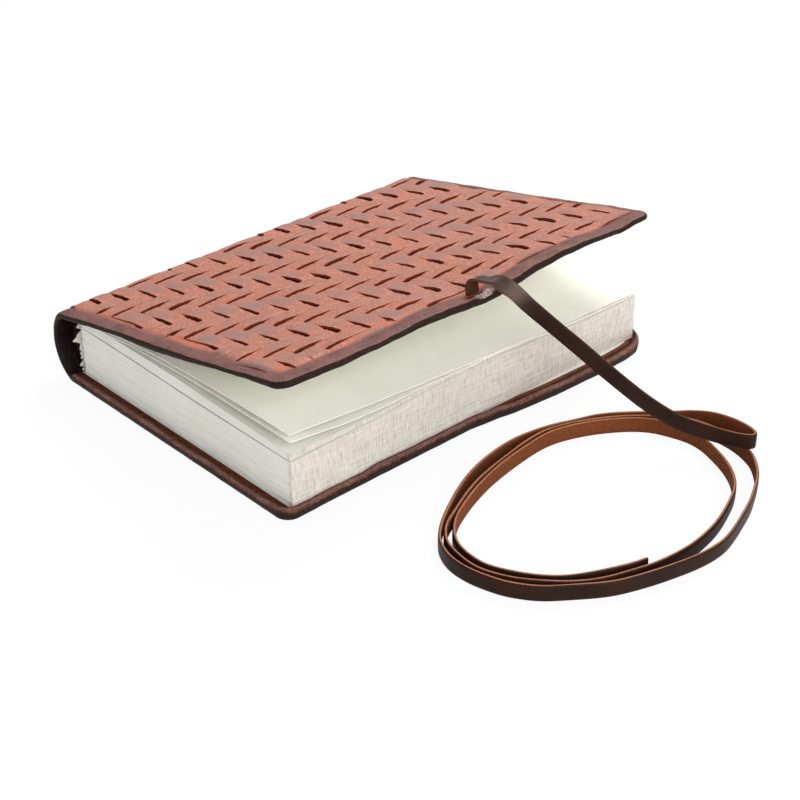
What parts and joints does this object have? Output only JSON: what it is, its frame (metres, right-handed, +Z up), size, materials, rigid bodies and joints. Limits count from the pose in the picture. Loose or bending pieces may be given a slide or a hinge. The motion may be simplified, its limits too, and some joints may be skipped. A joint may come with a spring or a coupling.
{
  "type": "leather_notebook",
  "caption": "Hand-bound leather journal with a twill-woven front cover, sewn paper sections, a hollow leather spine and a long flat leather tie lying beside it in loops",
  "frame": {"origin": "on the surface under the middle of the book, without its tie", "axes": "+X from the spine to the fore edge, +Y from the tail to the head, +Z up"},
  "size_m": [0.2388, 0.178, 0.0591],
  "materials": {
    "woven_leather": "waxed",
    "edge_leather": "burnished",
    "spine_leather": "burnished",
    "lining_leather": "suede",
    "strap_leather": "satin grain, suede flesh side",
    "board": "matte",
    "paper": "matte",
    "spine_lining": "open weave, glued",
    "sewing_thread": "waxed"
  },
  "bodies": {
    "text_block": {"spine_leather": "spine_leather", "section_1": "paper", "section_2": "paper", "section_3": "paper", "section_4": "paper", "sewing_thread": "sewing_thread", "spine_lining": "spine_lining", "strap_loops": "strap_leather"},
    "back_cover": {"back_leather": "edge_leather", "back_board": "board", "back_lining": "lining_leather", "back_endpaper": "paper"},
    "front_cover": {"front_endpaper": "paper", "front_lining": "lining_leather", "front_board": "board", "front_border": "edge_leather", "front_cross_strip_01": "woven_leather", "front_cross_strip_02": "woven_leather", "front_cross_strip_03": "woven_leather", "front_cross_strip_04": "woven_leather", "front_cross_strip_05": "woven_leather", "front_cross_strip_06": "woven_leather", "front_cross_strip_07": "woven_leather", "front_cross_strip_08": "woven_leather", "front_cross_strip_09": "woven_leather", "front_cross_strip_10": "woven_leather", "front_cross_strip_11": "woven_leather", "front_cross_strip_12": "woven_leather", "front_cross_strip_13": "woven_leather", "front_cross_strip_14": "woven_leather", "front_cross_strip_15": "woven_leather", "front_cross_strip_16": "woven_leather", "front_cross_strip_17": "woven_leather", "front_cross_strip_18": "woven_leather", "front_cross_strip_19": "woven_leather", "front_cross_strip_20": "woven_leather", "front_cross_strip_21": "woven_leather", "front_cross_strip_22": "woven_leather", "front_cross_strip_23": "woven_leather", "front_long_strip_01": "woven_leather", "front_long_strip_02": "woven_leather", "front_long_strip_03": "woven_leather", "front_long_strip_04": "woven_leather", "front_long_strip_05": "woven_leather", "front_long_strip_06": "woven_leather", "front_long_strip_07": "woven_leather", "front_long_strip_08": "woven_leather", "front_long_strip_09": "woven_leather", "front_long_strip_10": "woven_leather", "front_long_strip_11": "woven_leather", "front_long_strip_12": "woven_leather", "front_long_strip_13": "woven_leather", "front_long_strip_14": "woven_leather", "front_long_strip_15": "woven_leather", "front_long_strip_16": "woven_leather", "front_long_strip_17": "woven_leather", "strap_run": "strap_leather"},
    "top_leaf": {"top_leaf": "paper"},
    "second_leaf": {"second_leaf": "paper"},
    "loose_section": {"loose_section": "paper"}
  },
  "joints": [
    {"name": "front_cover_hinge", "type": "hinge", "parent": "text_block", "child": "front_cover", "pos_m": [-0.0625, 0, 0.0276], "axis": [0, -1, 0], "range_deg": [-10.6, 165], "deforming": ["strap_run"]},
    {"name": "back_cover_hinge", "type": "hinge", "parent": "text_block", "child": "back_cover", "pos_m": [-0.0605, 0, 0.0002], "axis": [0, 1, 0], "range_deg": [0, 170]},
    {"name": "top_leaf_turn", "type": "hinge", "parent": "text_block", "child": "top_leaf", "pos_m": [-0.0559, 0, 0.02428], "axis": [0, -1, 0], "range_deg": [-4, 62.3]},
    {"name": "second_leaf_turn", "type": "hinge", "parent": "text_block", "child": "second_leaf", "pos_m": [-0.0559, 0, 0.0237], "axis": [0, -1, 0], "range_deg": [-2.91, 45.2]},
    {"name": "loose_section_turn", "type": "hinge", "parent": "text_block", "child": "loose_section", "pos_m": [-0.0559, 0, 0.02265], "axis": [0, -1, 0], "range_deg": [-0.85, 13.3]}
  ],
  "couplings": [
    {"joint": "top_leaf_turn", "follows": "front_cover_hinge", "ratio": 0.377},
    {"joint": "second_leaf_turn", "follows": "front_cover_hinge", "ratio": 0.2736},
    {"joint": "loose_section_turn", "follows": "front_cover_hinge", "ratio": 0.08}
  ]
}
